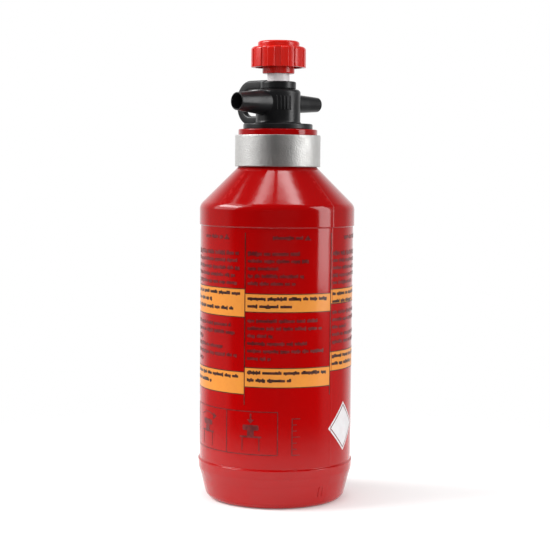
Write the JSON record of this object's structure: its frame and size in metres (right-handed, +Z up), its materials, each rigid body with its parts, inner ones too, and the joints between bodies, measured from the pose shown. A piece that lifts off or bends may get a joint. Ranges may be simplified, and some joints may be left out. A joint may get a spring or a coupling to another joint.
{
  "type": "fuel bottle",
  "caption": "Round plastic fuel bottle with an aluminium neck ring and a screw-in turn and press pouring valve with spout, air tube, carry loop and ribbed knob.",
  "frame": {"origin": "middle of the bottle's base, on the plane it stands on", "axes": "+Z up along the bottle's axis, +X along the pouring spout, -X along the air tube, -Y towards the carry loop"},
  "size_m": [0.0649, 0.0648, 0.19],
  "materials": {
    "bottle_red": "smooth blow-moulded, satin gloss",
    "ring_aluminium": "turned, satin",
    "seal_rubber": "matt",
    "valve_black": "moulded, satin",
    "acetal_white": "moulded, satin",
    "bright_steel": "bright",
    "knob_red": "moulded, glossy"
  },
  "bodies": {
    "bottle": {"bottle_shell": "bottle_red", "neck_ring": "ring_aluminium"},
    "gasket": {"flange_gasket": "seal_rubber"},
    "valve": {"valve_housing": "valve_black", "pour_spout": "valve_black", "air_tube": "valve_black", "carry_loop": "valve_black", "valve_seat": "acetal_white", "lock_bush": "acetal_white", "return_spring": "bright_steel"},
    "poppet": {"poppet": "acetal_white", "poppet_seal": "seal_rubber", "spring_washer": "bright_steel"},
    "knob": {"stem": "acetal_white", "stem_seal": "seal_rubber", "lock_pin": "bright_steel", "poppet_washer": "bright_steel", "poppet_screw": "bright_steel", "knob": "knob_red", "knob_screw": "bright_steel", "knob_cap": "knob_red"}
  },
  "joints": [
    {"name": "valve_lift", "type": "slide", "parent": "bottle", "child": "gasket", "axis": [0, 0, 1], "range_m": [0, 0.0321]},
    {"name": "valve_unscrew", "type": "hinge", "parent": "gasket", "child": "valve", "pos_m": [0, 0, 0.15], "axis": [0, 0, 1], "range_deg": [0, 2880]},
    {"name": "knob_press", "type": "slide", "parent": "valve", "child": "poppet", "axis": [0, 0, 1], "range_m": [-0.003, 0], "stiffness_N_per_m": 1500, "springref_m": 0.004, "deforming": ["return_spring"]},
    {"name": "knob_turn", "type": "hinge", "parent": "poppet", "child": "knob", "pos_m": [0, 0, 0.18], "axis": [0, 0, 1], "continuous": true}
  ],
  "couplings": [
    {"joint": "valve_lift", "follows": "valve_unscrew", "m_per_rad": 0.00063662}
  ]
}
